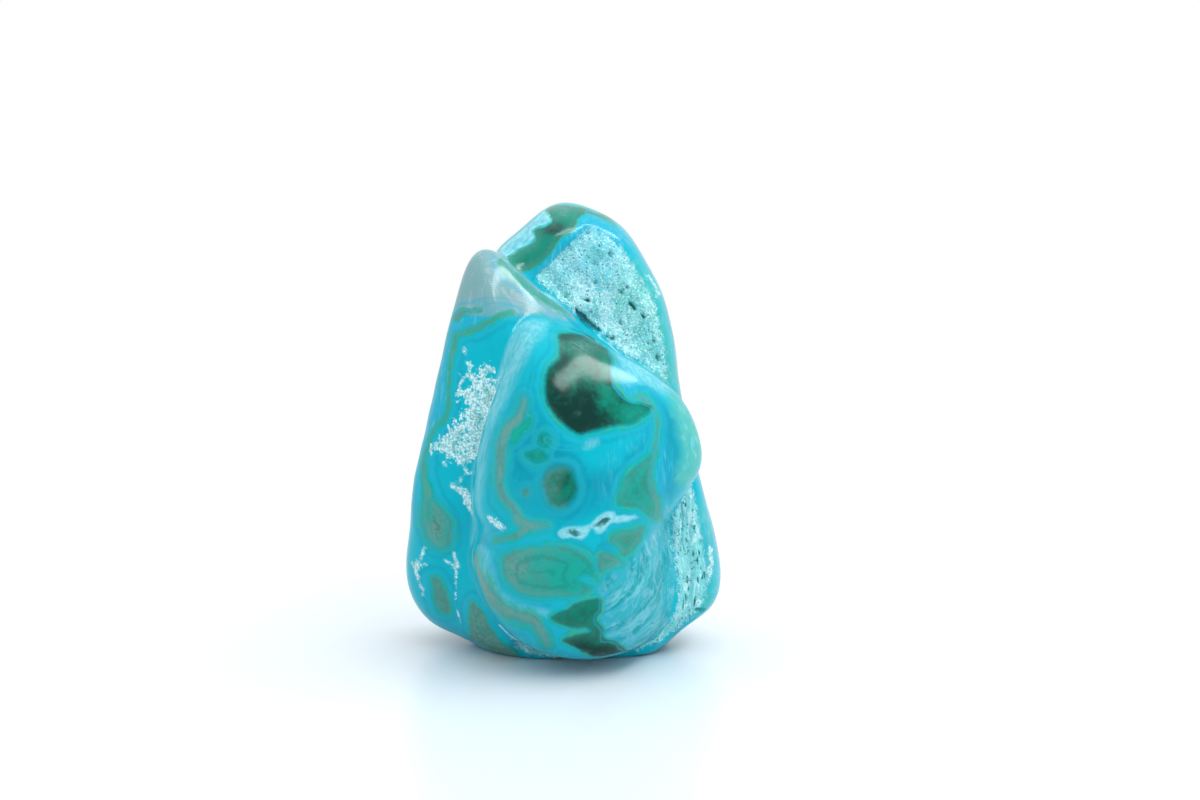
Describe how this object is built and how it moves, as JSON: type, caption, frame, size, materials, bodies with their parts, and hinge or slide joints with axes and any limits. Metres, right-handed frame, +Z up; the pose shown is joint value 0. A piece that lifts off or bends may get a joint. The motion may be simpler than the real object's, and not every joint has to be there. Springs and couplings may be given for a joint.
{
  "type": "polished chrysocolla stone",
  "caption": "Free-standing polished stone of blue-green chrysocolla banded with malachite, with a rough porous face and a ground flat base, for display.",
  "frame": {"origin": "on the base plane, under the middle of the stone's bounding box", "axes": "+Z up, +X to the right seen from the front, +Y to the back, so the swelling front lobe faces -Y"},
  "size_m": [0.0636, 0.0524, 0.0891],
  "materials": {
    "banded_stone": "hand-polished to a gloss, with one face left rough and porous"
  },
  "bodies": {
    "root": {"polished_stone": "banded_stone"}
  },
  "joints": []
}
